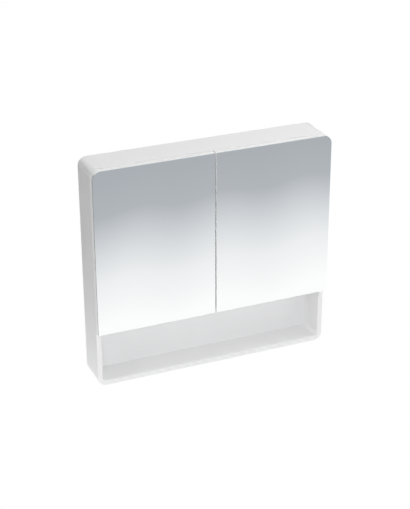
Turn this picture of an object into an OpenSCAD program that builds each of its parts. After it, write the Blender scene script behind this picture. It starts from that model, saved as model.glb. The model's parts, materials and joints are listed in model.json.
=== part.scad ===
// Mirrored wall cabinet: a wrapped shell with rounded corners, two mirror doors and an open niche below.
// The wall is the plane y = 0, the front faces -y, and the origin is the middle of the wall screws.

/* [Cabinet] */
// Overall width of the shell
cabinet_w = 750; // [600:10:1000]
// Overall height of the shell
cabinet_h = 700; // [600:10:900]
// Depth of the shell, from the wall to its front edge
shell_d = 108; // [104:1:160]
// Wall thickness of the shell
shell_t = 15; // [13:0.5:18]
// Outer radius of the shell's corners
corner_r = 26; // [22:1:36]
// Clear height of the open niche
niche_h = 183; // [120:1:220]
// Thickness of the niche roof
roof_t = 15; // [14:1:19]
// Thickness of the centre partition
partition_t = 15; // [15:1:22]
// Thickness of the back panel
back_t = 8; // [6:1:10]
// Depth of the hollow between the wall and the back panel
back_recess = 15; // [13:1:20]
// How far the back panel enters the shell's groove
groove_d = 4; // [3:0.5:6]

/* [Doors] */
// Thickness of the white board that carries the mirror
board_t = 16; // [15:0.5:19]
// Thickness of the mirror glass
glass_t = 4; // [3:0.5:6]
// Gap between the two doors
door_gap = 4; // [3:0.5:6]
// Gap between the doors and the shell
door_seam = 2; // [2:0.5:4]
// How far the doors hang below the niche roof, as a finger grip
finger_lip = 15; // [8:1:30]
// Thickness of the white band round the board's edge
band_t = 1; // [0.6:0.1:1.5]
// How far the glass stands back from the door's outline
glass_inset = 0.1; // [0.1:0.1:1]
// Radius of a door bumper
bumper_r = 3.5; // [2.5:0.5:5]
// How far a bumper lies in from the door's gap
bumper_in = 30; // [15:1:60]

/* [Hinges] */
// Distance of each hinge from the door's upper or lower end
hinge_end = 90; // [70:5:130]
// Radius of the hinge cup
cup_r = 17.5; // [17:0.5:18]
// Depth of the hinge cup in the board
cup_depth = 12; // [11.5:0.1:12.5]
// Wood left between the door's edge and the cup
cup_edge = 3; // [3:0.1:3.5]
// Distance of a cup screw above or below the cup's centre
cup_screw_z = 22.5; // [21.5:0.5:26]
// Distance of the cup screws inward from the cup's centre
cup_screw_in = 9.5; // [8:0.5:11]
// Thickness of the cup's flange on the board
flange_t = 0.8; // [0.6:0.1:1]
// Outer link's cup pin, in from the door's edge
outer_pin_in = 8; // [7.8:0.1:8.4]
// Outer link's cup pin, below the board's back face
outer_pin_deep = 4; // [3.8:0.1:4.2]
// Inner link's cup pin, in from the door's edge
inner_pin_in = 13.5; // [13.4:0.1:14]
// Inner link's cup pin, below the board's back face
inner_pin_deep = 3; // [2.8:0.1:3.2]
// Outer link's arm pin, in from the shell's inner face
arm_pin_in = 10; // [9.5:0.5:12]
// Outer link's arm pin, behind the shell's front edge
arm_pin_back = 16; // [15:0.5:18]
// Inner link's arm pin, in from the shell's inner face
far_pin_in = 29.3; // [29:0.1:30]
// Inner link's arm pin, behind the shell's front edge
far_pin_back = 7; // [7:0.1:7.5]
// Radius of the outer link's pins
pin_r = 1.5; // [1.3:0.05:1.6]
// Radius of the inner link's pins
small_pin_r = 1.25; // [1.1:0.05:1.3]
// Play of the inner link's ring round its arm pin
open_play = 2.6; // [2.5:0.05:2.7]
// Thickness of the arm's sheet metal
arm_t = 1.4; // [1:0.1:1.6]
// Distance of the plate screws behind the shell's front edge
plate_screw_back = 37; // [37:0.5:40]
// Distance of a plate screw above or below the hinge's centre
plate_screw_z = 16; // [15:0.5:20]

/* [Glass shelves] */
// Thickness of a glass shelf
shelf_t = 5; // [4:0.5:8]
// Distance of a glass shelf behind the shell's front edge
shelf_back = 10; // [8:1:30]
// Gap between a glass shelf and what is beside and behind it
shelf_play = 1; // [0.5:0.1:1.5]
// Radius of a shelf pin's hole
pin_hole_r = 2.5; // [2.5:0.5:3]
// Depth of a shelf pin's hole
pin_hole_d = 7; // [5:0.5:7]
// How far a shelf pin stands out of its hole
pin_out = 9; // [7:0.5:12]
// Spacing of the spare shelf pin holes
pin_pitch = 32; // [25:1:40]

/* [Hanging] */
// Height of the middle of the wall screws below the shell's top
screws_down = 87; // [85:1:100]
// Distance of each wall plate's middle in from the shell's inner face
plate_in = 29; // [27:1:45]
// Vertical distance between the two screws of a wall plate
screw_pitch = 20; // [16:1:24]
// Radius of the wall plate's screw holes
wall_hole_r = 2.75; // [2:0.25:3]
// Width of a wall plate
wall_plate_w = 40; // [30:1:46]
// Thickness of the wall plate's and the hook's steel
steel_t = 2.2; // [1.5:0.1:2.5]
// Width of the hook
hook_w = 22; // [14:1:26]
// Height of the hanger's housing
housing_h = 36; // [32:1:40]
// Depth of the hanger's housing
housing_d = 30; // [28:1:34]
// Wall thickness of the hanger's housing
housing_t = 2; // [1.5:0.1:2.5]

/* [Fasteners] */
// Radius of a dowel
dowel_r = 4; // [3:0.5:5]
// How far a dowel enters the panel that it ends in
dowel_in = 18; // [14:1:25]
// How far a dowel enters the shell or the niche roof
dowel_out = 9; // [7:0.5:10]
// Length of a back panel screw
back_screw_l = 30; // [25:1:35]

/* [Hidden] */
$fn = 48;

// Fits: a pin that turns, a pin or dowel that stays, and flat parts that pass
turn_fit = 0.05;
stay_fit = 0.02;
pass_fit = 0.2;
// A blind hole goes this much deeper than what is in it, and a cut starts this far outside the face
hole_end = 0.5;
cut = 1;
// Gap between a closed door and its bumpers
rest_gap = 0.3;

// Screws: radius and length of the shank
wood_screw_r = 1.75;
cup_screw_r = 1.7;
cup_screw_l = 11;
plate_screw_r = 2.5;
plate_screw_l = 13;
arm_screw_r = 2;
arm_screw_l = 11;
adjust_screw_r = 2;
adjust_screw_l = 16;
fixing_screw_l = 12;

// The shell and what divides it, with heights counted from the shell's bottom
inner_w = cabinet_w - 2*shell_t;
inner_h = cabinet_h - 2*shell_t;
inner_r = corner_r - shell_t;
roof_z = shell_t + niche_h;
bay_z = roof_z + roof_t;
bay_top = cabinet_h - shell_t;
bay_w = (inner_w - partition_t)/2;
back_face = -back_recess - back_t;
screw_h = cabinet_h - screws_down;
dowel_front = 23;
dowel_rear = 22;

// The doors
door_t = board_t + glass_t;
overall_d = shell_d + door_seam + door_t;
door_back = -shell_d - door_seam;
door_w = (cabinet_w - door_gap)/2;
door_z = roof_z - finger_lip;
door_h = cabinet_h - door_z;
upper_hinge_z = cabinet_h - hinge_end;
lower_hinge_z = door_z + hinge_end;
hinge_heights = [upper_hinge_z, lower_hinge_z];

// Hinge points in the hinge's own plan: x in from the cabinet's side, y back from the door's front
front_v = door_t + door_seam;
cup_u = cup_edge + cup_r;
cup_pin = [outer_pin_in, door_t - outer_pin_deep];
inner_cup_pin = [inner_pin_in, door_t - inner_pin_deep];
arm_pin = [shell_t + arm_pin_in, front_v + arm_pin_back];
far_pin = [shell_t + far_pin_in, front_v + far_pin_back];
plate_v = front_v + plate_screw_back;

// The cup: half height of its well, the well's wall and floor, and half the length of its pins
well_half = 6;
well_in = 2.2;
cup_floor = 1;
pin_end = 9;
// Its flange: how far it laps over the board, and the radius of its screw wings
flange_over = 1.3;
wing_r = 5.5;

// The links: half thickness of their strip, half width of the outer one, and the inner one's two cheeks
link_r = 1.2;
link_half = 2.6;
cheek_in = 3;
cheek_out = 5.6;
// Metal round the outer link's cup pin and arm pin, and round the inner link's open ring
link_eye = 0.9;
link_hub = 1.7;
ring_wall = 1.4;
// How much thinner the web between the inner link's cheeks is
web_thin = 0.35;

// The arm: half the space between its cheeks, and the radii of its eyes round the two link pins
arm_in = 6.2;
arm_half = arm_in + arm_t;
arm_eye = 4;
arm_far_eye = 4.6;

// The mounting plate: its thickness, how far it reaches before and behind its screws, and half its height
plate_t = 2.2;
plate_fore = 13;
plate_aft = 27;
plate_half = 9;
plate_front = plate_v - plate_fore;
plate_rear = plate_v + plate_aft;
wing_z_r = 6;
// The saddle that the arm sits on: its height on the wall, and how far its ends lie in from the plate's
saddle_h = 15.8;
saddle_in = 6;
saddle_end = 2;
saddle_half = arm_in - pass_fit;
saddle_u = shell_t + saddle_h;
web_u = saddle_u + pass_fit + arm_t/2;
arm_end = plate_rear - saddle_end;
// The arm's two screws, counted back from the plate's screws
first_screw_in = 2;
next_screw_in = 16;
arm_screw_v = [plate_v + first_screw_in, plate_v + next_screw_in];

// Glass shelves: two in each bay, at the thirds of its height
level_step = (bay_top - bay_z)/3;
shelf_levels = [bay_z + 2*level_step, bay_z + level_step];
shelf_d = shell_d - shelf_back + back_face - shelf_play;
shelf_w = bay_w - 2*shelf_play;
shelf_corner = 6;
// Shelf pins: radius of the support and of its collar, the collar's thickness, and where the two rows lie
pin_out_r = 3;
pin_collar_r = 4;
pin_collar_t = 1;
pin_front = 12;
pin_rear = 13;
pin_rows = [-shell_d + shelf_back + pin_front, back_face - pin_rear];

// Hangers: the wall plate has a ledge above its screws, and at its front a lip that carries the hook's bar
plate_u = shell_t + plate_in;
lip_up = 44;
ledge_up = 10;
plate_down = 8;
lip_z = screw_h + lip_up;
ledge_z = screw_h + screw_pitch/2 + ledge_up;
plate_low = screw_h - screw_pitch/2 - plate_down;
lip_y = 7;
// The hook: its bar's height and how near its tip comes to the wall, the tip's drop, and its tongue
bar_z = lip_z + pass_fit;
hook_reach = 3.2;
tip_drop = 17;
tongue_in = 20;
tongue_h = 18;
tongue_y = back_face - tongue_in;
// The two adjusting screws: aside of the tongue's middle, below the bar, and proud of the tongue
adjust_side = 5;
adjust_high = 6;
adjust_low = 14;
adjust_z = [bar_z - adjust_high, bar_z - adjust_low];
adjust_out = 2;

// The hanger's housing: room above the bar, play round the bar in its slot, and where its two screws go
housing_w = 45;
bar_room = 8;
bar_side = 0.5;
bar_play = 1.5;
housing_z = bar_z + steel_t + bar_room - housing_h;
housing_front = back_face - housing_d;
fixing_in = 8;
fixing_back = 11;
hanger_screw_z = [housing_z + fixing_in, housing_z + housing_h - fixing_in];
hanger_screw_y = back_face - fixing_back;
// The housing's cover and the rim on it
cover_t = 1.4;
rim_t = 1;
rim_d = 4;

// Slots in the back panel for the hooks: room at each side, below and above the bar
slot_side = 1;
slot_down = 5;
slot_up = 3;

white = [0.93, 0.93, 0.93];
steel = [0.72, 0.73, 0.74];
silver = [0.80, 0.83, 0.86];

// Places the parts, drawn from the shell's bottom up, round the wall screws
module in_frame() translate([0, 0, -screw_h]) children();

// An outline in x and z, given depth d in front of the plane y = back
module sheet(back, d) translate([0, back, 0]) rotate([90, 0, 0]) linear_extrude(d) children();

// An outline in a hinge's plan, between two heights
module layer(low, high) translate([0, 0, low]) linear_extrude(high - low) children();

// The same thing above and below a middle height
module both_ways() {
    children();
    mirror([0, 0, 1]) children();
}

// Side 1 is the right side and -1 the left: x is then counted in from the cabinet's side
module on_side(side) {
    if (side > 0) translate([cabinet_w/2, 0, 0]) mirror([1, 0, 0]) children();
    if (side < 0) translate([-cabinet_w/2, 0, 0]) children();
}

// A hinge's own frame at height z
module at_hinge(side, z) on_side(side) translate([0, -overall_d, z]) children();

module at_hinges(side) for (z = hinge_heights) at_hinge(side, z) children();

// A rod along x, y or z from one end to the other
module rod_x(low, high, r) translate([low, 0, 0]) rotate([0, 90, 0]) cylinder(r = r, h = high - low);

module rod_y(low, high, r) translate([0, high, 0]) rotate([90, 0, 0]) cylinder(r = r, h = high - low);

module rod_z(low, high, r) translate([0, 0, low]) cylinder(r = r, h = high - low);

// A screw with its head's underside at the origin, its shank along -z and a cross in its head
module screw(r, l) {
    head_r = 1.85*r;
    head_h = 0.9*r;
    cross_l = 1.2*head_r;
    cross_w = 0.6*r;
    difference() {
        union() {
            rod_z(-l, 0, r);
            rod_z(0, head_h, head_r);
        }
        for (turn = [0, 90]) rotate(turn) translate([-cross_l/2, -cross_w/2, 0.45*head_h])
            cube([cross_l, cross_w, head_h]);
    }
}

// A rectangle with four round corners, standing on the x axis
module rounded_frame(w, h, r) {
    translate([-w/2, r]) square([w, h - 2*r]);
    translate([-w/2 + r, 0]) square([w - 2*r, h]);
    for (x = [-1, 1], z = [r, h - r]) translate([x*(w/2 - r), z]) circle(r);
}

// The right door's outline, round at its outer top corner, drawn in by inset
module door_outline(inset) {
    w = door_w - 2*inset;
    h = door_h - 2*inset;
    r = corner_r - inset;
    translate([door_gap/2 + inset, door_z + inset]) {
        square([w - r, h]);
        square([w, h - r]);
        translate([w - r, h - r]) circle(r);
    }
}

// The door of one side: what is drawn for the right door is mirrored for the left
module door_side(side) {
    if (side > 0) children();
    if (side < 0) mirror([1, 0, 0]) children();
}

// A strip of even width along a few points. Its round turns are a hair wider, so that the edges cross cleanly
turn_over = 0.04;

module strap(points, r) {
    half = r - turn_over;
    for (i = [0 : len(points) - 2]) {
        run = points[i + 1] - points[i];
        translate(points[i]) rotate(atan2(run.y, run.x)) translate([0, -half]) square([norm(run), 2*half]);
    }
    for (p = points) translate(p) circle(r);
}

// The dowels, or with extra length their holes: niche roof to shell, partition to shell and to niche roof
module panel_dowel_set(r, extra) {
    for (y = [-shell_d + dowel_front, back_face - dowel_rear]) {
        for (side = [-1, 1]) on_side(side) translate([shell_t, y, roof_z + roof_t/2])
            rod_x(-dowel_out - extra, dowel_in + extra, r);
        translate([0, y, bay_top]) rod_z(-dowel_in - extra, dowel_out + extra, r);
        translate([0, y, bay_z]) rod_z(-dowel_out - extra, dowel_in + extra, r);
    }
}

// Where the back panel screws go: into the niche roof and into the partition
roof_screw_x = [-inner_w/4, inner_w/4];
partition_screw_z = [for (i = [1 : 3]) bay_z + i*(bay_top - bay_z)/4];
back_screw_spots = concat([for (x = roof_screw_x) [x, roof_z + roof_t/2]],
                          [for (z = partition_screw_z) [0, z]]);

module at_back_screws() for (p = back_screw_spots)
    translate([p.x, -back_recess, p.y]) rotate([-90, 0, 0]) children();

// The holes of the shelf pins on one wall, drilled along x from a face at x = 0
module pin_holes(rows) {
    for (level = shelf_levels, step = rows, y = pin_rows)
        translate([0, y, level - pin_out_r + step*pin_pitch]) rod_x(-pin_hole_d, 0, pin_hole_r);
}

module carcass_shell() in_frame() color(white) difference() {
    sheet(0, shell_d) difference() {
        rounded_frame(cabinet_w, cabinet_h, corner_r);
        translate([0, shell_t]) rounded_frame(inner_w, inner_h, inner_r);
    }
    // Groove of the back panel
    sheet(-back_recess + pass_fit, back_t + 2*pass_fit) translate([0, shell_t - groove_d])
        rounded_frame(inner_w + 2*groove_d, inner_h + 2*groove_d, inner_r + groove_d);
    panel_dowel_set(dowel_r + stay_fit, hole_end);
    for (side = [-1, 1]) {
        on_side(side) translate([shell_t, 0, 0]) pin_holes([-1, 0, 1]);
        at_hinges(side) both_ways() translate([0, plate_v, plate_screw_z])
            rod_x(shell_t + plate_t - plate_screw_l - hole_end, shell_t, plate_screw_r + stay_fit);
        on_side(side) for (z = hanger_screw_z) translate([0, hanger_screw_y, z])
            rod_x(shell_t + housing_t - fixing_screw_l - hole_end, shell_t, wood_screw_r + stay_fit);
    }
}

module niche_roof() in_frame() color(white) difference() {
    translate([-inner_w/2, -shell_d, roof_z]) cube([inner_w, shell_d + back_face, roof_t]);
    panel_dowel_set(dowel_r + stay_fit, hole_end);
    at_back_screws() rod_z(-back_screw_l - hole_end, 0, wood_screw_r + stay_fit);
}

module centre_partition() in_frame() color(white) difference() {
    translate([-partition_t/2, -shell_d, bay_z]) cube([partition_t, shell_d + back_face, bay_top - bay_z]);
    panel_dowel_set(dowel_r + stay_fit, hole_end);
    at_back_screws() rod_z(-back_screw_l - hole_end, 0, wood_screw_r + stay_fit);
    translate([partition_t/2, 0, 0]) pin_holes([-1, 0, 1]);
    mirror([1, 0, 0]) translate([partition_t/2, 0, 0]) pin_holes([-1, 0, 1]);
}

module back_panel() in_frame() color(white) difference() {
    edge = groove_d - pass_fit;
    sheet(-back_recess, back_t) translate([0, shell_t - edge])
        rounded_frame(inner_w + 2*edge, inner_h + 2*edge, inner_r + edge);
    at_back_screws() rod_z(-back_screw_l, 0, wood_screw_r + stay_fit);
    // Slots that the hanger hooks come out of
    for (side = [-1, 1]) on_side(side)
        translate([plate_u - hook_w/2 - slot_side, back_face - cut, bar_z - slot_down])
            cube([hook_w + 2*slot_side, back_t + 2*cut, steel_t + slot_down + slot_up]);
}

module panel_dowels() in_frame() color("burlywood") panel_dowel_set(dowel_r, 0);

module back_panel_screws() in_frame() color(steel) at_back_screws()
    screw(wood_screw_r, back_screw_l);

// A glass shelf of one bay, with round front corners
module glass_shelf(side, level) in_frame() color(silver, 0.5) on_side(side)
    translate([shell_t + shelf_play, -shell_d + shelf_back, level]) linear_extrude(shelf_t) {
        translate([shelf_corner, 0]) square([shelf_w - 2*shelf_corner, shelf_d]);
        translate([0, shelf_corner]) square([shelf_w, shelf_d - shelf_corner]);
        for (x = [shelf_corner, shelf_w - shelf_corner]) translate([x, shelf_corner]) circle(shelf_corner);
    }

module left_upper_glass_shelf() glass_shelf(-1, shelf_levels[0]);
module left_lower_glass_shelf() glass_shelf(-1, shelf_levels[1]);
module right_upper_glass_shelf() glass_shelf(1, shelf_levels[0]);
module right_lower_glass_shelf() glass_shelf(1, shelf_levels[1]);

// A shelf pin in a wall's face at x = 0, with its collar and its support
module shelf_pin() {
    rod_x(-pin_hole_d + pass_fit, 0, pin_hole_r - stay_fit);
    rod_x(0, pin_collar_t, pin_collar_r);
    rod_x(pin_collar_t, pin_out, pin_out_r);
}

// The collar's own rim would reach the glass, so the pin's support and collar end level with it
module shelf_pins() in_frame() color(steel) difference() {
    for (side = [-1, 1], level = shelf_levels, y = pin_rows) on_side(side) {
        translate([shell_t, y, level - pin_out_r]) shelf_pin();
        translate([shell_t + bay_w, y, level - pin_out_r]) mirror([1, 0, 0]) shelf_pin();
    }
    for (level = shelf_levels) translate([-inner_w/2, -shell_d, level]) cube([inner_w, shell_d, shelf_t]);
}

// Clear pads that the doors close on
module door_bumpers() in_frame() color([0.9, 0.9, 0.9])
    for (side = [-1, 1], z = [roof_z + roof_t/2, cabinet_h - shell_t/2])
        translate([side*(door_gap/2 + bumper_in), 0, z]) rod_y(door_back + rest_gap, -shell_d, bumper_r);

// The board behind the mirror, bored for the hinge cups and their screws
module door_board(side) in_frame() color(white) difference() {
    door_side(side) sheet(door_back, board_t) door_outline(band_t);
    at_hinges(side) {
        translate([cup_u, 0, 0]) rod_y(door_t - cup_depth, door_t + cut, cup_r);
        both_ways() translate([cup_u + cup_screw_in, 0, cup_screw_z])
            rod_y(door_t + flange_t - cup_screw_l - hole_end, door_t + cut, cup_screw_r + stay_fit);
    }
}

// A white band round the board's edge
module door_edge_band(side) in_frame() color(white) door_side(side)
    sheet(door_back, board_t) difference() {
        door_outline(0);
        door_outline(band_t);
    }

module mirror_glass(side) in_frame() color(silver) door_side(side)
    sheet(door_back - board_t, glass_t) door_outline(glass_inset);

module left_door_board() door_board(-1);
module right_door_board() door_board(1);
module left_door_edge_band() door_edge_band(-1);
module right_door_edge_band() door_edge_band(1);
module left_mirror_glass() mirror_glass(-1);
module right_mirror_glass() mirror_glass(1);

// The cup in the board, with its flange, its two screw wings and the well that the links fold into
module hinge_cup(side, z) in_frame() color(steel) at_hinge(side, z) difference() {
    union() {
        translate([cup_u, 0, 0]) rod_y(door_t - cup_depth + pass_fit, door_t, cup_r - pass_fit/2);
        sheet(door_t + flange_t, flange_t) {
            translate([cup_u, 0]) circle(cup_r + flange_over);
            translate([cup_u + cup_screw_in - wing_r, -cup_screw_z]) square([2*wing_r, 2*cup_screw_z]);
            for (z = [-1, 1]) translate([cup_u + cup_screw_in, z*cup_screw_z]) circle(wing_r);
        }
    }
    translate([cup_edge + well_in, door_t - cup_depth + pass_fit + cup_floor, -well_half])
        cube([2*(cup_r - well_in), cup_depth + flange_t, 2*well_half]);
    translate(cup_pin) rod_z(-pin_end, pin_end, pin_r + stay_fit);
    translate(inner_cup_pin) rod_z(-pin_end, pin_end, small_pin_r + stay_fit);
    both_ways() translate([cup_u + cup_screw_in, 0, cup_screw_z])
        rod_y(door_t - cut, door_t + flange_t + cut, cup_screw_r + pass_fit);
}

module left_upper_hinge_cup() hinge_cup(-1, upper_hinge_z);
module left_lower_hinge_cup() hinge_cup(-1, lower_hinge_z);
module right_upper_hinge_cup() hinge_cup(1, upper_hinge_z);
module right_lower_hinge_cup() hinge_cup(1, lower_hinge_z);

// The arm: two cheeks that hold the link pins, joined by a web that the screws go through
web_points = [[far_pin.x + 4.4, far_pin.y + 9], [saddle_u + 9, arm_pin.y + 11],
              [web_u, plate_v - 5], [web_u, arm_end]];
cheek_rise = arm_pin.x - 5;
cheek_points = [[arm_pin.x - 2, arm_pin.y - 1], [far_pin.x - 1, far_pin.y - 3], [far_pin.x + 3, far_pin.y],
                web_points[0] + [0.3, 0], web_points[1] + [0.3, 0.2], web_points[2] + [0.3, 0],
                [web_u + 0.3, arm_end + 0.4], [cheek_rise, arm_end + 0.4], [cheek_rise, arm_pin.y + 10]];

module hinge_arm(side, z) in_frame() color(steel) at_hinge(side, z) difference() {
    union() {
        layer(-arm_half, arm_half) strap(web_points, arm_t/2);
        both_ways() layer(arm_in, arm_half) {
            polygon(cheek_points);
            translate(arm_pin) circle(arm_eye);
            translate(far_pin) circle(arm_far_eye);
        }
    }
    translate(arm_pin) rod_z(-arm_half - cut, arm_half + cut, pin_r + stay_fit);
    translate(far_pin) rod_z(-arm_half - cut, arm_half + cut, small_pin_r + stay_fit);
    for (v = arm_screw_v) translate([0, v, 0])
        rod_x(web_u - arm_t/2 - cut, web_u + arm_t/2 + cut, arm_screw_r + pass_fit);
}

module left_upper_hinge_arm() hinge_arm(-1, upper_hinge_z);
module left_lower_hinge_arm() hinge_arm(-1, lower_hinge_z);
module right_upper_hinge_arm() hinge_arm(1, upper_hinge_z);
module right_lower_hinge_arm() hinge_arm(1, lower_hinge_z);

// The plate on the shell's wall, with two screw wings and the saddle under the arm
module hinge_plate(side, z) in_frame() color(steel) at_hinge(side, z) difference() {
    union() {
        translate([shell_t, plate_front, -plate_half])
            cube([plate_t, plate_rear - plate_front, 2*plate_half]);
        translate([shell_t, plate_v - wing_z_r, -plate_screw_z]) cube([plate_t, 2*wing_z_r, 2*plate_screw_z]);
        both_ways() translate([0, plate_v, plate_screw_z]) rod_x(shell_t, shell_t + plate_t, wing_z_r);
        translate([shell_t, plate_front + saddle_in, -saddle_half])
            cube([saddle_u - shell_t, arm_end - plate_front - saddle_in, 2*saddle_half]);
    }
    both_ways() translate([0, plate_v, plate_screw_z])
        rod_x(shell_t - cut, shell_t + plate_t + cut, plate_screw_r + pass_fit);
    for (v = arm_screw_v) translate([0, v, 0])
        rod_x(web_u + arm_t/2 - arm_screw_l - hole_end, saddle_u + cut, arm_screw_r + stay_fit);
}

module left_upper_hinge_plate() hinge_plate(-1, upper_hinge_z);
module left_lower_hinge_plate() hinge_plate(-1, lower_hinge_z);
module right_upper_hinge_plate() hinge_plate(1, upper_hinge_z);
module right_lower_hinge_plate() hinge_plate(1, lower_hinge_z);

// The outer link hooks round the strip of wood between the cup and the door's edge
outer_link_points = [cup_pin, cup_pin + [0.6, -3.6], cup_pin + [7.4, -3.6], cup_pin + [10.6, -0.4],
                     [cup_pin.x + 10.6, arm_pin.y - 13], arm_pin];

module outer_link(side, z) in_frame() color(steel) at_hinge(side, z) difference() {
    layer(-link_half, link_half) {
        strap(outer_link_points, link_r);
        translate(cup_pin) circle(pin_r + link_eye);
        translate(arm_pin) circle(pin_r + link_hub);
    }
    for (p = [cup_pin, arm_pin]) translate(p) rod_z(-link_half - cut, link_half + cut, pin_r + turn_fit);
}

module left_upper_outer_link() outer_link(-1, upper_hinge_z);
module left_lower_outer_link() outer_link(-1, lower_hinge_z);
module right_upper_outer_link() outer_link(1, upper_hinge_z);
module right_lower_outer_link() outer_link(1, lower_hinge_z);

// The inner link has two cheeks that straddle the outer link; its ring has play round the arm's pin
inner_link_points = [inner_cup_pin, inner_cup_pin + [8.5, -0.5], inner_cup_pin + [13.5, 2],
                     far_pin + [-14.3, -6.5], far_pin + [-4.6, -1.8]];
inner_web_points = [far_pin + [-10.5, -4.7], far_pin + [-6, -2.5]];

module inner_link(side, z) in_frame() color(steel) at_hinge(side, z) {
    both_ways() layer(cheek_in, cheek_out) difference() {
        union() {
            strap(inner_link_points, link_r);
            translate(inner_cup_pin) circle(small_pin_r + link_r);
            translate(far_pin) circle(small_pin_r + open_play + ring_wall);
        }
        translate(inner_cup_pin) circle(small_pin_r + turn_fit);
        translate(far_pin) circle(small_pin_r + open_play);
    }
    layer(-cheek_in - cut, cheek_in + cut) strap(inner_web_points, link_r - web_thin);
}

module left_upper_inner_link() inner_link(-1, upper_hinge_z);
module left_lower_inner_link() inner_link(-1, lower_hinge_z);
module right_upper_inner_link() inner_link(1, upper_hinge_z);
module right_lower_inner_link() inner_link(1, lower_hinge_z);

// Two pins in every arm
module hinge_arm_pins() in_frame() color(steel) for (side = [-1, 1]) at_hinges(side) {
    translate(arm_pin) rod_z(-arm_half, arm_half, pin_r);
    translate(far_pin) rod_z(-arm_half, arm_half, small_pin_r);
}

// In every cup one through pin for the outer link, and two stub pins for the inner link
module cup_pins(side) in_frame() color(steel) at_hinges(side) {
    translate(cup_pin) rod_z(-pin_end + pass_fit, pin_end - pass_fit, pin_r);
    both_ways() translate(inner_cup_pin) rod_z(cheek_in - turn_fit, pin_end - pass_fit, small_pin_r);
}

module left_cup_pins() cup_pins(-1);
module right_cup_pins() cup_pins(1);

module cup_screws(side) in_frame() color(steel) at_hinges(side) both_ways()
    translate([cup_u + cup_screw_in, door_t + flange_t, cup_screw_z]) rotate([-90, 0, 0])
        screw(cup_screw_r, cup_screw_l);

module left_cup_screws() cup_screws(-1);
module right_cup_screws() cup_screws(1);

module hinge_plate_screws() in_frame() color(steel) for (side = [-1, 1]) at_hinges(side) both_ways()
    translate([shell_t + plate_t, plate_v, plate_screw_z]) rotate([0, 90, 0])
        screw(plate_screw_r, plate_screw_l);

module hinge_arm_screws() in_frame() color(steel) for (side = [-1, 1]) at_hinges(side)
    for (v = arm_screw_v) translate([web_u + arm_t/2, v, 0]) rotate([0, 90, 0])
        screw(arm_screw_r, arm_screw_l);

// The wall plate: screwed flat to the wall below a ledge, with a lip in front that the hook drops behind
module wall_plate(side) in_frame() color(steel) on_side(side) difference() {
    translate([plate_u - wall_plate_w/2, 0, 0]) {
        translate([0, -steel_t, plate_low]) cube([wall_plate_w, steel_t, ledge_z - plate_low]);
        translate([0, -lip_y - steel_t, ledge_z - steel_t]) cube([wall_plate_w, lip_y + steel_t, steel_t]);
        translate([0, -lip_y - steel_t, ledge_z - steel_t])
            cube([wall_plate_w, steel_t, lip_z - ledge_z + steel_t]);
    }
    for (step = [-1, 1]) translate([plate_u, 0, screw_h + step*screw_pitch/2])
        rod_y(-steel_t - cut, cut, wall_hole_r);
}

module left_wall_plate() wall_plate(-1);
module right_wall_plate() wall_plate(1);

// The hook: a tongue in the housing, a bar through the back panel and a tip behind the wall plate's lip
module hanger_hook(side) in_frame() color(steel) on_side(side) difference() {
    translate([plate_u - hook_w/2, 0, 0]) {
        translate([0, tongue_y, bar_z - tongue_h]) cube([hook_w, steel_t, tongue_h + steel_t]);
        translate([0, tongue_y, bar_z]) cube([hook_w, -tongue_y - hook_reach, steel_t]);
        translate([0, -hook_reach - steel_t, bar_z - tip_drop]) cube([hook_w, steel_t, tip_drop + steel_t]);
    }
    for (i = [0, 1]) translate([plate_u + adjust_side*(1 - 2*i), 0, adjust_z[i]])
        rod_y(tongue_y - cut, tongue_y + steel_t + cut, adjust_screw_r + stay_fit);
}

module left_hanger_hook() hanger_hook(-1);
module right_hanger_hook() hanger_hook(1);

// The housing: an open box in the cabinet's upper corner, screwed to the shell's wall
module hanger_housing(side) in_frame() color(white) on_side(side) difference() {
    translate([shell_t, housing_front, housing_z]) cube([housing_w, housing_d, housing_h]);
    translate([shell_t + housing_t, housing_front - cut, housing_z + housing_t])
        cube([housing_w - 2*housing_t, housing_d + cut - housing_t, housing_h - 2*housing_t]);
    translate([plate_u - hook_w/2 - bar_side, back_face - housing_t - cut, bar_z - bar_play])
        cube([hook_w + 2*bar_side, housing_t + 2*cut, steel_t + 2*bar_play]);
    for (z = hanger_screw_z) translate([0, hanger_screw_y, z])
        rod_x(shell_t - cut, shell_t + housing_t + cut, wood_screw_r + pass_fit);
}

module left_hanger_housing() hanger_housing(-1);
module right_hanger_housing() hanger_housing(1);

// The cover closes the housing's front, with a rim that enters it
module hanger_cover(side) in_frame() color(white) on_side(side) {
    rim_w = housing_w - 2*housing_t - 2*pass_fit;
    rim_h = housing_h - 2*housing_t - 2*pass_fit;
    translate([shell_t + pass_fit, housing_front - cover_t, housing_z])
        cube([housing_w - pass_fit, cover_t, housing_h]);
    translate([shell_t + housing_t + pass_fit, housing_front, housing_z + housing_t + pass_fit])
        difference() {
            cube([rim_w, rim_d, rim_h]);
            translate([rim_t, -cut, rim_t]) cube([rim_w - 2*rim_t, rim_d + 2*cut, rim_h - 2*rim_t]);
        }
}

module left_hanger_cover() hanger_cover(-1);
module right_hanger_cover() hanger_cover(1);

// Two screws through each hook's tongue, for its height and its depth
module hanger_adjusting_screws() in_frame() color(steel) for (side = [-1, 1]) on_side(side)
    for (i = [0, 1]) translate([plate_u + adjust_side*(1 - 2*i), tongue_y - adjust_out, adjust_z[i]])
        rotate([90, 0, 0]) screw(adjust_screw_r, adjust_screw_l);

module hanger_fixing_screws() in_frame() color(steel) for (side = [-1, 1], z = hanger_screw_z)
    on_side(side) translate([shell_t + housing_t, hanger_screw_y, z]) rotate([0, 90, 0])
        screw(wood_screw_r, fixing_screw_l);

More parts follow.
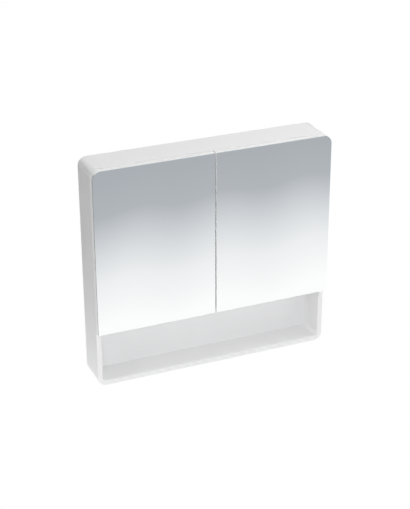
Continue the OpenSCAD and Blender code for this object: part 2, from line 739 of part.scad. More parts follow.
carcass_shell();
niche_roof();
centre_partition();
back_panel();
panel_dowels();
back_panel_screws();
left_upper_glass_shelf();
left_lower_glass_shelf();
right_upper_glass_shelf();
right_lower_glass_shelf();
shelf_pins();
door_bumpers();
left_door_board();
left_door_edge_band();
left_mirror_glass();
right_door_board();
right_door_edge_band();
right_mirror_glass();
left_upper_hinge_cup();
left_lower_hinge_cup();
right_upper_hinge_cup();
right_lower_hinge_cup();
left_upper_hinge_arm();
left_lower_hinge_arm();
right_upper_hinge_arm();
right_lower_hinge_arm();
left_upper_hinge_plate();
left_lower_hinge_plate();
right_upper_hinge_plate();
right_lower_hinge_plate();
left_upper_outer_link();
left_lower_outer_link();
right_upper_outer_link();
right_lower_outer_link();
left_upper_inner_link();
left_lower_inner_link();
right_upper_inner_link();
right_lower_inner_link();
hinge_arm_pins();
left_cup_pins();
right_cup_pins();
left_cup_screws();
right_cup_screws();
hinge_plate_screws();
hinge_arm_screws();
left_wall_plate();
right_wall_plate();
left_hanger_hook();
right_hanger_hook();
left_hanger_housing();
right_hanger_housing();
left_hanger_cover();
right_hanger_cover();
hanger_adjusting_screws();
hanger_fixing_screws();
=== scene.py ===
"""Mirrored wall cabinet: a lacquered shell with two mirror doors on cup hinges, and an open niche below them.

Everything is in metres. The wall is the plane y = 0, the front faces -y and z is up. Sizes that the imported
model has are read from its nodes' boxes; the rest are named values here.
"""

import json
import math

import bmesh
import bpy
import numpy as np
from mathutils import Matrix, Vector


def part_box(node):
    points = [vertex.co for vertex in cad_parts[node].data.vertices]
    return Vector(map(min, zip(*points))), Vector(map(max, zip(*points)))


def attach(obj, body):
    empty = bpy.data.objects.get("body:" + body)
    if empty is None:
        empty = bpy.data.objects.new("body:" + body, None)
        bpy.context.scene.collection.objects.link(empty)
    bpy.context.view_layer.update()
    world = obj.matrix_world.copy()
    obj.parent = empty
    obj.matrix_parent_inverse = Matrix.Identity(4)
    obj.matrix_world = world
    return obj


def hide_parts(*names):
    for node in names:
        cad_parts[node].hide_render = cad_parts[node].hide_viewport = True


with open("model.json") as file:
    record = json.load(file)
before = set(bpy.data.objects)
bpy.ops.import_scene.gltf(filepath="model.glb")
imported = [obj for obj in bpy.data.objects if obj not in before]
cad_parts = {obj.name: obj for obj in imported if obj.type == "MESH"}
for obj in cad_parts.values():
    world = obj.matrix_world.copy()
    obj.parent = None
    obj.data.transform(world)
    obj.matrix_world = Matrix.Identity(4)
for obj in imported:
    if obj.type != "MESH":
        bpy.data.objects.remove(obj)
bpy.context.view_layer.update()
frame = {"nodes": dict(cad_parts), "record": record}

MM = 0.001
QUARTER = math.pi/2

# Shell and panels: the shell's outer corner and wall, the back panel's groove, and how far the edges are rounded
corner_r = 26*MM
wall_t = 15*MM
groove_d = 4*MM
groove_play = 0.2*MM
lacquer_ease = 0.6*MM
board_ease = 0.5*MM
sharp_corner = 0.6*MM

# Doors: the band's rounding, the glass's corner and chamfer, and the hinge cups' bores and flanges
band_ease = 0.25*MM
glass_corner = 1.2*MM
glass_chamfer = 0.1*MM
cup_bore_r = 17.5*MM
cup_bore_d = 12*MM
cup_flange = 1.2*MM

# Glass shelves, and the holes for their pins: radius, depth, distance between rows and how near a hole's pin is
shelf_corner = 6*MM
shelf_back_corner = 1*MM
shelf_chamfer = 0.5*MM
pin_hole_r = 2.5*MM
pin_hole_d = 7*MM
pin_pitch = 32*MM
pin_reach = 12*MM

# The flat middle of a bumper's dome, as a share of its radius
dome_flat = 0.06

# How far a cutter stands out of the face that it starts in, and how near counts as on a face
cutter_lead = 1*MM
nearly = 0.001*MM

SIDES = {"left": -1, "right": 1}
LEVELS = ("upper", "lower")

# Where the two axes of a plane and the one across it go in x, y, z
AXES = {"xz": (0, 2, 1), "xy": (0, 1, 2), "yz": (1, 2, 0)}

# Number of each glass material on the mirror's faces
EDGE, FRONT, REAR, MEETING = range(4)
GLASS_MATERIALS = ("glass_edge", "mirror", "backing_paint", "ground_edge")


# Geometry


def rounded_outline(low, high, radii, steps=10):
    """A rectangle from low to high with round corners, as points and outward normals in one plane.

    Corner k, counted from the top right one against the clock, is the arc centre + radius*(cos t, sin t)
    with t from k to k + 1 quarter turns, and its centre lies one radius inside both sides.
    """
    turn = (np.arange(4)[:, None] + np.linspace(0, 1, steps))*QUARTER
    normals = np.stack([np.cos(turn), np.sin(turn)], -1)
    corners = np.array([[high[0], high[1]], [low[0], high[1]], [low[0], low[1]], [high[0], low[1]]])
    inward = np.array([[-1, -1], [1, -1], [1, 1], [-1, 1]])
    radii = np.asarray(radii, float)[:, None, None]
    points = corners[:, None] + radii*(inward[:, None] + normals)
    return points.reshape(-1, 2), normals.reshape(-1, 2)


def eased_edge(low, high, ease, steps=3):
    """The edge of a slab from face to face, as insets and depths: at each face a quarter circle of radius ease.

    At turn t the inset is ease*(1 - sin t) and the depth past the face is ease*(1 - cos t).
    """
    turn = np.linspace(0, QUARTER, steps + 1)
    inset = ease*(1 - np.sin(turn))
    depth = ease*(1 - np.cos(turn))
    front = np.stack([inset, low + depth], 1)
    rear = np.stack([inset, high - depth], 1)
    return np.concatenate([front, rear[::-1]])


def carried(outline, profile, plane):
    """A profile carried round an outline, as an array of rings by points by x, y, z.

    Ring i is the outline drawn in by inset i along its normals, at depth i across the plane.
    """
    points, normals = outline
    ring = points[None] - profile[:, :1, None]*normals[None]
    depth = np.broadcast_to(profile[:, 1][:, None, None], ring.shape[:2] + (1,))
    local = np.concatenate([ring, depth], -1)
    grid = np.empty_like(local)
    grid[..., AXES[plane]] = local
    return grid


def grid_faces(rows, columns, closed_rows, closed_columns):
    """The quads between neighbouring rows and columns of a grid, numbered row by row."""
    i = np.arange(rows if closed_rows else rows - 1)[:, None]
    j = np.arange(columns if closed_columns else columns - 1)[None]
    ahead, beside = (i + 1) % rows, (j + 1) % columns
    quads = np.stack(np.broadcast_arrays(
        i*columns + j, i*columns + beside, ahead*columns + beside, ahead*columns + j), -1)
    return quads.reshape(-1, 4)


def mesh_object(name, vertices, faces):
    """An object at the origin from an array of vertices and a list of faces, turned outward by its volume."""
    mesh = bpy.data.meshes.new(name)
    mesh.from_pydata(np.reshape(vertices, (-1, 3)).tolist(), [], faces)
    piece = bpy.data.objects.new(name, mesh)
    bpy.context.scene.collection.objects.link(piece)
    work = bmesh.new()
    work.from_mesh(mesh)
    if work.calc_volume(signed=True) < 0:
        bmesh.ops.reverse_faces(work, faces=work.faces)
    work.to_mesh(mesh)
    work.free()
    return piece


def capped(grid):
    """The faces of a tube of closed rings, with a flat face on its first and on its last ring."""
    rows, columns = grid.shape[:2]
    first = np.arange(columns)
    caps = [first[::-1].tolist(), (first + (rows - 1)*columns).tolist()]
    return grid_faces(rows, columns, False, True).tolist() + caps


def slab(name, outline, profile, plane):
    """A flat solid: an edge profile carried round an outline, with a flat face at each end of the profile."""
    grid = carried(outline, profile, plane)
    return mesh_object(name, grid, capped(grid))


def loop(name, outline, profile, plane):
    """A closed frame: a closed profile of insets and depths carried round a closed outline."""
    grid = carried(outline, profile, plane)
    return mesh_object(name, grid, grid_faces(*grid.shape[:2], True, True).tolist())


def turned(profile, centre, axis, steps=24):
    """A turned solid as vertices and faces: a profile of radii and heights spun about an axis through centre.

    A point at turn t is centre + height*axis + radius*(cos t * side + sin t * front). Both ends are closed.
    """
    axis = np.asarray(axis, float)
    side = np.roll(axis, 1)
    front = np.cross(axis, side)
    turn = np.linspace(0, 2*math.pi, steps, endpoint=False)
    across = np.cos(turn)[:, None]*side + np.sin(turn)[:, None]*front
    radius, height = np.asarray(profile, float).T[:, :, None, None]
    grid = centre + height*axis + radius*across
    return grid.reshape(-1, 3), capped(grid)


def gather(name, solids):
    """One object from several solids, each an array of vertices and a list of faces."""
    starts = np.cumsum([0] + [len(vertices) for vertices, _ in solids])
    faces = [(np.array(face) + start).tolist() for (_, some), start in zip(solids, starts) for face in some]
    return mesh_object(name, np.concatenate([vertices for vertices, _ in solids]), faces)


def solids_of(node):
    """The boxes of a node's separate solids, in a fixed order.

    Every corner starts with its own number, and the corners of each triangle take the lowest of theirs
    until nothing changes.
    """
    mesh = frame["nodes"][node].data
    corners = np.empty(len(mesh.vertices)*3)
    mesh.vertices.foreach_get("co", corners)
    triangles = np.empty(len(mesh.loops), int)
    mesh.loops.foreach_get("vertex_index", triangles)
    points, number = np.unique(np.round(corners.reshape(-1, 3), 6), axis=0, return_inverse=True)
    triangles = number.reshape(-1)[triangles].reshape(-1, 3)
    label = np.arange(len(points))
    while True:
        lower = label.copy()
        np.minimum.at(lower, triangles, label[triangles].min(1)[:, None])
        lower = lower[lower]
        if np.array_equal(lower, label):
            break
        label = lower
    return [(points[label == k].min(0), points[label == k].max(0)) for k in np.unique(label)]


def finished(piece, angle=35):
    """Smooth shading that stays flat on the flat faces, with sharp edges past an angle in degrees."""
    piece.data.polygons.foreach_set("use_smooth", np.ones(len(piece.data.polygons), bool))
    piece.data.set_sharp_from_angle(angle=math.radians(angle))
    weighted = piece.modifiers.new("Flat faces stay flat", "WEIGHTED_NORMAL")
    weighted.keep_sharp = True
    return piece


def drilled(piece, bores):
    """The piece with round holes cut out of it: each bore is a start, an end and a radius."""
    rods = []
    for start, end, radius in bores:
        start, line = np.asarray(start, float), np.subtract(end, start)
        length = np.linalg.norm(line)
        rods.append(turned([[radius, 0], [radius, length]], start, line/length, 32))
    cutter = gather("cutter", rods)
    cut = piece.modifiers.new("Drill", "BOOLEAN")
    cut.object = cutter
    cut.operation = "DIFFERENCE"
    cut.solver = "EXACT"
    bpy.context.view_layer.update()
    result = bpy.data.meshes.new_from_object(piece.evaluated_get(bpy.context.evaluated_depsgraph_get()))
    piece.modifiers.remove(cut)
    piece.data = result
    bpy.data.objects.remove(cutter)
    return piece


def eased(node, ease):
    """A node's own shape with its edges rounded: a merged copy with a bevel on every edge past an angle."""
    piece = bpy.data.objects.new(node + "_eased", frame["nodes"][node].data.copy())
    bpy.context.scene.collection.objects.link(piece)
    work = bmesh.new()
    work.from_mesh(piece.data)
    bmesh.ops.remove_doubles(work, verts=work.verts, dist=1e-6)
    bmesh.ops.dissolve_limit(work, angle_limit=math.radians(0.5), verts=work.verts, edges=work.edges)
    work.to_mesh(piece.data)
    work.free()
    bevel = piece.modifiers.new("Eased edges", "BEVEL")
    bevel.width = ease
    bevel.segments = 2
    bevel.limit_method = "ANGLE"
    bevel.angle_limit = math.radians(40)
    return finished(piece, 40)


# Materials


def ranged(tree, value, start, end, low, high):
    """Maps the part of a value from start to end to low to high, and holds it there outside that part."""
    node = tree.nodes.new("ShaderNodeMapRange")
    for key, number in (("From Min", start), ("From Max", end), ("To Min", low), ("To Max", high)):
        node.inputs[key].default_value = number
    tree.links.new(value, node.inputs["Value"])
    return node.outputs["Result"]


def calculated(tree, operation, *values):
    """The result of a Math node, whose inputs are numbers or other nodes' outputs."""
    node = tree.nodes.new("ShaderNodeMath")
    node.operation = operation
    for socket, value in zip(node.inputs, values):
        if isinstance(value, bpy.types.NodeSocket):
            tree.links.new(value, socket)
        else:
            socket.default_value = value
    return node.outputs["Value"]


class Finish:
    """A material built round one Principled shader, with helpers that add nodes on Object coordinates."""

    def __init__(self, name, **sockets):
        self.material = bpy.data.materials.new(name)
        self.material.use_nodes = True
        self.tree = self.material.node_tree
        self.nodes, self.links = self.tree.nodes, self.tree.links
        self.shader = self.nodes["Principled BSDF"]
        self.place = self.nodes.new("ShaderNodeTexCoord").outputs["Object"]
        for key, value in sockets.items():
            self.shader.inputs[key.replace("_", " ")].default_value = value

    def noise(self, scale, detail=2.0, stretch=(1, 1, 1)):
        """Noise on Object coordinates, scale in features per metre along each axis."""
        mapping = self.nodes.new("ShaderNodeMapping")
        mapping.inputs["Scale"].default_value = [scale*s for s in stretch]
        texture = self.nodes.new("ShaderNodeTexNoise")
        texture.inputs["Scale"].default_value = 1
        texture.inputs["Detail"].default_value = detail
        self.links.new(self.place, mapping.inputs["Vector"])
        self.links.new(mapping.outputs["Vector"], texture.inputs["Vector"])
        return texture.outputs["Fac"]

    def span(self, value, low, high):
        """Maps the middle part of a noise, where most of it lies, to low to high."""
        return ranged(self.tree, value, 0.35, 0.65, low, high)

    def tint(self, noise, low, high):
        """Base colour between two colours, by a noise."""
        node = self.nodes.new("ShaderNodeMix")
        node.data_type = "RGBA"
        node.inputs["A"].default_value = (*low, 1)
        node.inputs["B"].default_value = (*high, 1)
        self.links.new(self.span(noise, 0, 1), node.inputs["Factor"])
        self.links.new(node.outputs["Result"], self.shader.inputs["Base Color"])

    def rough(self, noise, low, high):
        """Roughness between two values, by a noise."""
        self.links.new(self.span(noise, low, high), self.shader.inputs["Roughness"])

    def bump(self, height, depth):
        """A bump of the given depth in metres."""
        node = self.nodes.new("ShaderNodeBump")
        node.inputs["Strength"].default_value = 1
        node.inputs["Distance"].default_value = depth
        self.links.new(height, node.inputs["Height"])
        self.links.new(node.outputs["Normal"], self.shader.inputs["Normal"])


def lacquer():
    """Sprayed white lacquer: a hint of orange peel, with slow changes of tone and gloss."""
    finish = Finish("white_lacquer", Coat_Weight=0.25, Coat_Roughness=0.12)
    finish.tint(finish.noise(4), (0.872, 0.871, 0.875), (0.887, 0.886, 0.89))
    finish.rough(finish.noise(25), 0.30, 0.40)
    finish.bump(finish.noise(300, 1), 0.005*MM)
    return finish.material


def melamine(name, low, high, grain):
    """White melamine face of a board: fine pebbling, a little flatter than the lacquer."""
    finish = Finish(name)
    finish.tint(finish.noise(6), low, high)
    finish.rough(finish.noise(60), 0.42, 0.52)
    finish.bump(finish.noise(grain, 2), 0.006*MM)
    return finish.material


def silvered():
    """Silvered glass seen from the front: a flawless mirror with the glass's cool tint."""
    finish = Finish("mirror", Metallic=1.0, Roughness=0.005)
    finish.tint(finish.noise(2), (0.97, 0.98, 0.98), (0.98, 0.985, 0.985))
    return finish.material


def glass_edge():
    """Polished edge of the mirror's glass: it mirrors too, a little dim and greenish."""
    finish = Finish("glass_edge", Metallic=1.0)
    finish.tint(finish.noise(40, 2, (1, 1, 0.2)), (0.69, 0.735, 0.725), (0.75, 0.79, 0.78))
    finish.rough(finish.noise(300), 0.02, 0.06)
    return finish.material


def ground_edge():
    """Ground edge of the mirror's glass, where the doors meet: matt and whitish."""
    finish = Finish("ground_edge")
    finish.tint(finish.noise(60, 2, (1, 1, 0.2)), (0.96, 0.965, 0.962), (0.97, 0.975, 0.972))
    finish.rough(finish.noise(300), 0.5, 0.65)
    return finish.material


def clear_glass():
    """Clear float glass, faintly green."""
    finish = Finish("shelf_glass", IOR=1.52, Transmission_Weight=1.0, Roughness=0.01)
    finish.tint(finish.noise(8), (0.90, 0.965, 0.945), (0.92, 0.975, 0.955))
    return finish.material


def plated(name, low, high, rough_low, rough_high):
    """Plated steel: the plating's faint clouds, with fine rolling marks along y."""
    finish = Finish(name, Metallic=1.0)
    finish.tint(finish.noise(180, 3), low, high)
    finish.rough(finish.noise(900, 2, (1, 0.08, 1)), rough_low, rough_high)
    finish.bump(finish.noise(1500, 1, (1, 0.06, 1)), 0.004*MM)
    return finish.material


def plastic():
    """Moulded white plastic with a spark-eroded grain."""
    finish = Finish("white_plastic")
    finish.tint(finish.noise(20), (0.74, 0.74, 0.73), (0.78, 0.78, 0.77))
    finish.rough(finish.noise(400), 0.45, 0.6)
    finish.bump(finish.noise(1800, 2), 0.02*MM)
    return finish.material


def soft_pad():
    """Clear soft bumper."""
    finish = Finish("bumper_rubber", Transmission_Weight=0.6, IOR=1.45)
    finish.tint(finish.noise(500), (0.82, 0.83, 0.83), (0.88, 0.88, 0.88))
    finish.rough(finish.noise(700), 0.25, 0.4)
    return finish.material


def beech():
    """Beech dowel: fine grain along z."""
    finish = Finish("dowel_wood")
    finish.tint(finish.noise(900, 3, (1, 1, 0.06)), (0.50, 0.33, 0.19), (0.64, 0.46, 0.29))
    finish.rough(finish.noise(600), 0.55, 0.7)
    finish.bump(finish.noise(1400, 2, (1, 1, 0.05)), 0.03*MM)
    return finish.material


def backing_paint():
    """Grey protective paint behind the silver."""
    finish = Finish("backing_paint")
    finish.tint(finish.noise(50), (0.20, 0.21, 0.22), (0.24, 0.25, 0.26))
    finish.rough(finish.noise(300), 0.5, 0.6)
    return finish.material


MATERIALS = {
    "white_lacquer": lacquer(),
    "white_back": melamine("white_back", (0.86, 0.863, 0.868), (0.873, 0.876, 0.882), 900),
    "white_board": melamine("white_board", (0.86, 0.86, 0.86), (0.875, 0.875, 0.875), 700),
    "white_band": melamine("white_band", (0.92, 0.92, 0.915), (0.93, 0.93, 0.925), 500),
    "mirror": silvered(),
    "shelf_glass": clear_glass(),
    "dowel_wood": beech(),
    "bumper_rubber": soft_pad(),
    "white_plastic": plastic(),
    "zinc_steel": plated("zinc_steel", (0.58, 0.60, 0.62), (0.72, 0.74, 0.76), 0.28, 0.42),
    "nickel_steel": plated("nickel_steel", (0.66, 0.65, 0.62), (0.76, 0.75, 0.72), 0.16, 0.28),
    "glass_edge": glass_edge(),
    "ground_edge": ground_edge(),
    "backing_paint": backing_paint(),
}

SLOT_OF = {part["node"]: part["material_slot"] for part in frame["record"]["subparts"]}
BODY_OF = {node: body for body, nodes in frame["record"]["behaviour"]["bodies"].items() for node in nodes}


def put(piece, node, *materials):
    """Puts a piece in its node's place, body and slot, with the slot's material unless others are named."""
    piece.data.materials.clear()
    for name in materials or [SLOT_OF[node]]:
        piece.data.materials.append(MATERIALS[name])
    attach(piece, BODY_OF[node])
    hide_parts(node)


# The cabinet's pieces


def pin_bores(walls):
    """The shelf pins' holes: at every pin near a wall's face, and one pitch above and below it.

    Each wall is its face's x, and the direction along x that leads into it.
    """
    bores = []
    for face, into in walls:
        for low, high in solids_of("shelf_pins"):
            middle = (low + high)/2
            if abs(middle[0] - face) > pin_reach:
                continue
            for step in (-1, 0, 1):
                start = np.array([face - into*cutter_lead, middle[1], middle[2] + step*pin_pitch])
                bores.append((start, start + [into*(pin_hole_d + cutter_lead), 0, 0], pin_hole_r))
    return bores


def make_shell():
    """The shell: its wall's section carried round the cabinet's outline.

    The section is a rectangle of insets and depths with eased corners. Its inner side has a groove where the
    back panel enters it, between the section's last corner and its first.
    """
    low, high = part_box("carcass_shell")
    panel_low, panel_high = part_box("back_panel")
    outline = rounded_outline((low.x, low.z), (high.x, high.z), [corner_r]*4, 28)
    wall = rounded_outline((0, low.y), (wall_t, high.y), [lacquer_ease]*4, 4)[0]
    front, rear = panel_low.y - groove_play, panel_high.y + groove_play
    groove = [[wall_t, front], [wall_t - groove_d, front], [wall_t - groove_d, rear], [wall_t, rear]]
    piece = loop("shell", outline, np.concatenate([wall, groove]), "xz")
    drilled(piece, pin_bores([(low.x + wall_t, -1), (high.x - wall_t, 1)]))
    put(finished(piece), "carcass_shell")


def make_panels():
    """The niche roof, the centre partition and the back panel: slabs with eased edges."""
    for node, radius, steps in (("niche_roof", sharp_corner, 4), ("centre_partition", sharp_corner, 4),
                                ("back_panel", corner_r - wall_t + groove_d - groove_play, 16)):
        low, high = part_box(node)
        outline = rounded_outline((low.x, low.z), (high.x, high.z), [radius]*4, steps)
        piece = slab(node + "_panel", outline, eased_edge(low.y, high.y, board_ease), "xz")
        if node == "centre_partition":
            drilled(piece, pin_bores([(low.x, 1), (high.x, -1)]))
        put(finished(piece), node)


def door_outline(node, side, corner, radius):
    """A door piece's outline: its outer top corner is round and the others nearly sharp."""
    low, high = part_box(node)
    radii = [corner, radius, radius, radius] if side > 0 else [radius, corner, radius, radius]
    return rounded_outline((low.x, low.z), (high.x, high.z), radii, 20)


def make_door(name, side):
    """One door: its board with the hinge cups' bores, the band round the board, and the mirror glass."""
    board, band, glass = name + "_door_board", name + "_door_edge_band", name + "_mirror_glass"
    low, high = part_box(board)
    band_low, band_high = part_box(band)
    band_t = low.x - band_low.x
    piece = slab(board + "_panel", door_outline(board, side, corner_r - band_t, sharp_corner),
                 eased_edge(low.y, high.y, band_ease), "xz")
    bores = []
    for level in LEVELS:
        cup_low, cup_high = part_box(f"{name}_{level}_hinge_cup")
        outer = cup_low.x if side < 0 else cup_high.x
        x, z = outer - side*(cup_bore_r + cup_flange), (cup_low.z + cup_high.z)/2
        bores.append(((x, high.y - cup_bore_d, z), (x, high.y + cutter_lead, z), cup_bore_r))
    drilled(piece, bores)
    put(finished(piece), board)

    strip = rounded_outline((0, band_low.y), (band_t, band_high.y), [band_ease]*4, 3)[0]
    piece = loop(band + "_strip", door_outline(band, side, corner_r, band_t), strip, "xz")
    put(finished(piece), band)

    low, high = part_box(glass)
    inset = low.x - band_low.x
    piece = slab(glass + "_sheet", door_outline(glass, side, corner_r - inset, glass_corner),
                 np.array([[glass_chamfer, low.y], [0, low.y + glass_chamfer], [0, high.y]]), "xz")
    put(finished(piece, 30), glass, *GLASS_MATERIALS)
    centres = np.empty(len(piece.data.polygons)*3)
    piece.data.polygons.foreach_get("center", centres)
    across, depth = centres.reshape(-1, 3)[:, :2].T
    meeting = np.abs(across) < min(abs(low.x), abs(high.x)) + glass_chamfer
    number = np.select([depth < low.y + nearly, depth > high.y - nearly, meeting], [FRONT, REAR, MEETING], EDGE)
    piece.data.polygons.foreach_set("material_index", number.astype(np.int32))


def make_shelves():
    """Glass shelves with round front corners and a small chamfer."""
    for name in SIDES:
        for level in LEVELS:
            node = f"{name}_{level}_glass_shelf"
            low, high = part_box(node)
            radii = [shelf_back_corner, shelf_back_corner, shelf_corner, shelf_corner]
            outline = rounded_outline((low.x, low.y), (high.x, high.y), radii)
            piece = slab(node + "_sheet", outline, eased_edge(low.z, high.z, shelf_chamfer, 1), "xy")
            put(finished(piece, 30), node)


def make_bumpers():
    """Low domes turned about y: at turn t the radius falls with cos t to a small flat and the height is sin t."""
    turn = np.linspace(0, 1, 8)*QUARTER
    solids = []
    for low, high in solids_of("door_bumpers"):
        middle, radius, height = (low + high)/2, (high[0] - low[0])/2, high[1] - low[1]
        dome = np.stack([radius*((1 - dome_flat)*np.cos(turn) + dome_flat), height*np.sin(turn)], 1)
        solids.append(turned(dome, np.array([middle[0], high[1], middle[2]]), (0, -1, 0)))
    put(finished(gather("door_bumper_domes", solids), 50), "door_bumpers")


# The nodes that keep their own shape, with how far their edges are rounded in millimetres
EASED = {
    "panel_dowels": 0.5, "back_panel_screws": 0.25, "shelf_pins": 0.25, "hinge_arm_pins": 0.15,
    "left_cup_pins": 0.15, "right_cup_pins": 0.15, "left_cup_screws": 0.15, "right_cup_screws": 0.15,
    "hinge_plate_screws": 0.2, "hinge_arm_screws": 0.15, "hanger_adjusting_screws": 0.15,
    "hanger_fixing_screws": 0.15,
}
for name in SIDES:
    for level in LEVELS:
        for part, ease in (("hinge_cup", 0.25), ("hinge_arm", 0.2), ("hinge_plate", 0.3),
                           ("outer_link", 0.2), ("inner_link", 0.2)):
            EASED[f"{name}_{level}_{part}"] = ease
    for part, ease in (("wall_plate", 0.5), ("hanger_hook", 0.5), ("hanger_housing", 0.6), ("hanger_cover", 0.5)):
        EASED[f"{name}_{part}"] = ease


def make_all():
    """Every piece of the cabinet."""
    make_shell()
    make_panels()
    for name, side in SIDES.items():
        make_door(name, side)
    make_shelves()
    make_bumpers()
    for node, ease in EASED.items():
        put(eased(node, ease*MM), node)


# Camera, floor and light


# The photograph's camera: turn to the right of +y, tilt downward and roll in degrees, and distance from its target
CAMERA_TURN, CAMERA_TILT, CAMERA_ROLL = 22.823, 25.447, -0.269
CAMERA_DISTANCE = 4.12346
CAMERA_TARGET = (-0.0038, -0.0550, -0.26679)
CAMERA_LENS, CAMERA_SENSOR = 96.38, 36


def make_camera():
    """The photograph's viewpoint: from the left and above, level but for a hair of roll."""
    turn, tilt, roll = [math.radians(angle) for angle in (CAMERA_TURN, CAMERA_TILT, CAMERA_ROLL)]
    ahead = Vector((math.sin(turn)*math.cos(tilt), math.cos(turn)*math.cos(tilt), -math.sin(tilt)))
    side = Vector((math.cos(turn), -math.sin(turn), 0))
    up = side.cross(ahead)
    side, up = math.cos(roll)*side + math.sin(roll)*up, math.cos(roll)*up - math.sin(roll)*side
    camera = bpy.data.cameras.new("camera")
    camera.sensor_width = CAMERA_SENSOR
    camera.lens = CAMERA_LENS
    holder = bpy.data.objects.new("camera", camera)
    place = Vector(CAMERA_TARGET) - CAMERA_DISTANCE*ahead
    holder.matrix_world = Matrix.Translation(place) @ Matrix((side, up, -ahead)).transposed().to_4x4()
    bpy.context.scene.collection.objects.link(holder)
    bpy.context.scene.camera = holder


def white_when_seen(tree, matt, shiny, white):
    """The surface that camera and see-through rays meet as white, shiny reflections as one and others as matt."""
    path = tree.nodes.new("ShaderNodeLightPath")
    seen = calculated(tree, "MAXIMUM", path.outputs["Is Camera Ray"], path.outputs["Is Transmission Ray"])
    inner, outer = [tree.nodes.new("ShaderNodeMixShader") for _ in range(2)]
    for mix, factor, no, yes in ((inner, path.outputs["Is Glossy Ray"], matt, shiny), (outer, seen, inner, white)):
        tree.links.new(factor, mix.inputs[0])
        tree.links.new(no.outputs[0], mix.inputs[1])
        tree.links.new(yes.outputs[0], mix.inputs[2])
    return outer.outputs[0]


FLOOR_Z = -1.8
FLOOR_HALF = 40
FLOOR_PALE = (0.8, 0.8, 0.8, 1)

# The painted reflection that mirrors show of the floor: y in metres, and the painted colour there
PAINTED_TONES = [
    (-4.44, (0.415, 0.44, 0.47)), (-3.89, (0.45, 0.475, 0.505)), (-3.34, (0.72, 0.74, 0.76)),
    (-3.04, (0.86, 0.87, 0.88)), (-2.54, (1, 1, 1)), (1.6, (0.8, 0.8, 0.8)), (2.4, (0.36, 0.36, 0.36)),
    (3.2, (0.16, 0.16, 0.16)), (4.4, (0.12, 0.12, 0.12)), (6.5, (0.35, 0.35, 0.35)),
]
TONES_FROM, TONES_TO = -5, 8

# How far the tones move forward per metre to the right
TONE_SLANT = 0.04

# The painted tones' soft ripples: distance between them, how far they slant, where they start and how far they
# shift
RIPPLE_PITCH = 0.56
RIPPLE_SLANT = 0.44
RIPPLE_PHASE = 0.45
RIPPLE_SHIFT = 0.047

# The painted dark stretch of reflection behind the object: its middle is where x + DARK_SLANT*y + DARK_SHIFT is
# nought, and it ends between two distances from there and between two values of y. Past it the painted reflection
# is at least this light.
DARK_SLANT = 0.322
DARK_SHIFT = 0.41
DARK_ASIDE = (0.22, 0.8)
DARK_BEHIND = (4.5, 6.0)
REAR_TONE = 0.38


def make_floor():
    """A plain pale floor. Mirrors see a painted reflection on it in place of its lit colour: painted light round
    the object, which fades to a cool grey in front, and a painted dark stretch behind.

    The tone at x, y is that of PAINTED_TONES at y + TONE_SLANT*x + RIPPLE_SHIFT*cos(2 pi (x + RIPPLE_SLANT*y)
    / RIPPLE_PITCH + RIPPLE_PHASE).
    """
    corners = [[side*FLOOR_HALF, end*FLOOR_HALF, FLOOR_Z] for side, end in ((-1, -1), (1, -1), (1, 1), (-1, 1))]
    floor = mesh_object("floor", corners, [[0, 1, 2, 3]])
    material = bpy.data.materials.new("floor")
    material.use_nodes = True
    tree = material.node_tree
    nodes, links = tree.nodes, tree.links
    nodes.clear()
    split = nodes.new("ShaderNodeSeparateXYZ")
    links.new(nodes.new("ShaderNodeTexCoord").outputs["Object"], split.inputs["Vector"])
    x, y, _ = split.outputs

    slanted = calculated(tree, "MULTIPLY_ADD", y, RIPPLE_SLANT, x)
    angle = calculated(tree, "MULTIPLY_ADD", slanted, 2*math.pi/RIPPLE_PITCH, RIPPLE_PHASE)
    rippled = calculated(tree, "MULTIPLY_ADD", calculated(tree, "COSINE", angle), RIPPLE_SHIFT, y)
    tone = calculated(tree, "MULTIPLY_ADD", x, TONE_SLANT, rippled)
    ramp = nodes.new("ShaderNodeValToRGB")
    elements = ramp.color_ramp.elements
    while len(elements) < len(PAINTED_TONES):
        elements.new(0.5)
    for element, (depth, colour) in zip(elements, PAINTED_TONES):
        element.position = (depth - TONES_FROM)/(TONES_TO - TONES_FROM)
        element.color = (*colour, 1)
    links.new(ranged(tree, tone, TONES_FROM, TONES_TO, 0, 1), ramp.inputs["Fac"])

    along = calculated(tree, "ADD", calculated(tree, "MULTIPLY_ADD", y, DARK_SLANT, x), DARK_SHIFT)
    aside = ranged(tree, calculated(tree, "ABSOLUTE", along), *DARK_ASIDE, 0, REAR_TONE)
    around = calculated(tree, "MAXIMUM", aside, ranged(tree, y, *DARK_BEHIND, 0, REAR_TONE))
    lighter = nodes.new("ShaderNodeMix")
    lighter.data_type = "RGBA"
    lighter.blend_type = "LIGHTEN"
    lighter.inputs["Factor"].default_value = 1
    links.new(ramp.outputs["Color"], lighter.inputs["A"])
    links.new(around, lighter.inputs["B"])

    # The emission that shiny rays see on the floor is the painted reflection of light and shade round the object
    white, painted_pool = [nodes.new("ShaderNodeEmission") for _ in range(2)]
    links.new(lighter.outputs["Result"], painted_pool.inputs["Color"])
    pale = nodes.new("ShaderNodeBsdfDiffuse")
    pale.inputs["Color"].default_value = FLOOR_PALE
    surface = white_when_seen(tree, pale, painted_pool, white)
    links.new(surface, nodes.new("ShaderNodeOutputMaterial").inputs["Surface"])
    floor.data.materials.append(material)


# Strength of the sky on matt surfaces
SKY = 0.1

# What shiny surfaces see near the horizon is a painted reflection that lights nothing matt: its tone goes from the
# front's to the rear's between two values of the direction's y, and past two distances of the direction's x from
# DIM_MIDDLE it is at least DIM_SIDES
HORIZON_FRONT, HORIZON_REAR = 0.45, 0.15
HORIZON_TURN = (-0.4, 0.6)
DIM_MIDDLE = -0.4
DIM_ASIDE = (0.2, 0.5)
DIM_SIDES = 0.36

# The direction's z between which the painted reflection of the horizon pales to white
SKY_RISE = (0.12, 0.34)


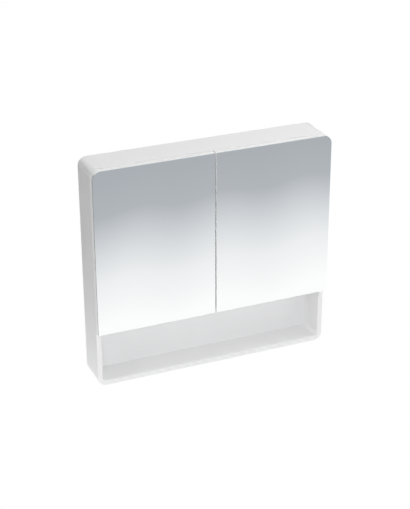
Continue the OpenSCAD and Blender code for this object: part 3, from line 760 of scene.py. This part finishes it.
def make_world():
    """White behind the object and a soft sky round it. Shiny surfaces see a painted reflection of a studio that
    pales upward.
    """
    world = bpy.data.worlds.new("studio")
    bpy.context.scene.world = world
    world.use_nodes = True
    tree = world.node_tree
    nodes, links = tree.nodes, tree.links
    nodes.clear()
    split = nodes.new("ShaderNodeSeparateXYZ")
    links.new(nodes.new("ShaderNodeTexCoord").outputs["Generated"], split.inputs["Vector"])
    x, y, z = split.outputs

    aside = calculated(tree, "ABSOLUTE", calculated(tree, "SUBTRACT", x, DIM_MIDDLE))
    sides = ranged(tree, aside, *DIM_ASIDE, 0, DIM_SIDES)
    horizon = calculated(tree, "MAXIMUM", ranged(tree, y, *HORIZON_TURN, HORIZON_FRONT, HORIZON_REAR), sides)
    fade = nodes.new("ShaderNodeMix")
    links.new(ranged(tree, z, *SKY_RISE, 0, 1), fade.inputs["Factor"])
    links.new(horizon, fade.inputs["A"])
    fade.inputs["B"].default_value = 1

    sky, studio, white = [nodes.new("ShaderNodeBackground") for _ in range(3)]
    sky.inputs["Strength"].default_value = SKY
    # The studio background is seen by shiny rays only and carries the painted reflection
    links.new(fade.outputs["Result"], studio.inputs["Color"])
    white.inputs["Color"].default_value = (1, 1, 1, 1)
    surface = white_when_seen(tree, sky, studio, white)
    links.new(surface, nodes.new("ShaderNodeOutputWorld").inputs["Surface"])


# Lamps: name, place, the point it faces, width and height in metres, power in watts
LAMPS = [
    ("key", (-0.9, -3.1, 0.7), (0, 0, -0.3), 1.8, 1.4, 48.3),
    ("fill", (2.6, -2.6, 0.5), (0, 0, -0.3), 2.0, 2.0, 11),
    ("low_fill", (1.8, -2.4, -1.4), (0, 0, -0.4), 1.4, 1.0, 9.6),
    ("left", (-3.2, -1.0, 0.2), (-0.3, 0, -0.3), 1.6, 1.6, 20.7),
    ("right", (3.2, -1.0, 0.2), (0.3, 0, -0.3), 1.6, 1.6, 11.6),
    ("overhead", (0, -0.8, 2.2), (0, -0.2, 0), 4.0, 3.0, 40.7),
    ("overhead_right", (2.0, -0.3, 2.2), (0, 0, -0.1), 1.6, 1.6, 29),
    ("low_left", (-0.9, -0.1, -1.0), (-0.37, -0.1, -0.6), 0.6, 0.5, 2.5),
    ("rear", (1.4, 3.2, -0.45), (0, 0, -0.3), 2.6, 1.0, 60),
]


def make_lamps():
    """Soft lamps that light the object but show neither in the picture nor in a reflection."""
    for name, place, aim, width, height, power in LAMPS:
        light = bpy.data.lights.new(name, "AREA")
        light.shape = "RECTANGLE"
        light.size, light.size_y = width, height
        light.energy = power
        lamp = bpy.data.objects.new(name, light)
        lamp.location = place
        lamp.rotation_euler = (Vector(aim) - Vector(place)).to_track_quat("-Z", "Y").to_euler()
        lamp.visible_camera = False
        lamp.visible_glossy = False
        bpy.context.scene.collection.objects.link(lamp)


make_camera()
make_all()
make_floor()
make_world()
make_lamps()

bpy.context.scene.view_settings.view_transform = "Standard"
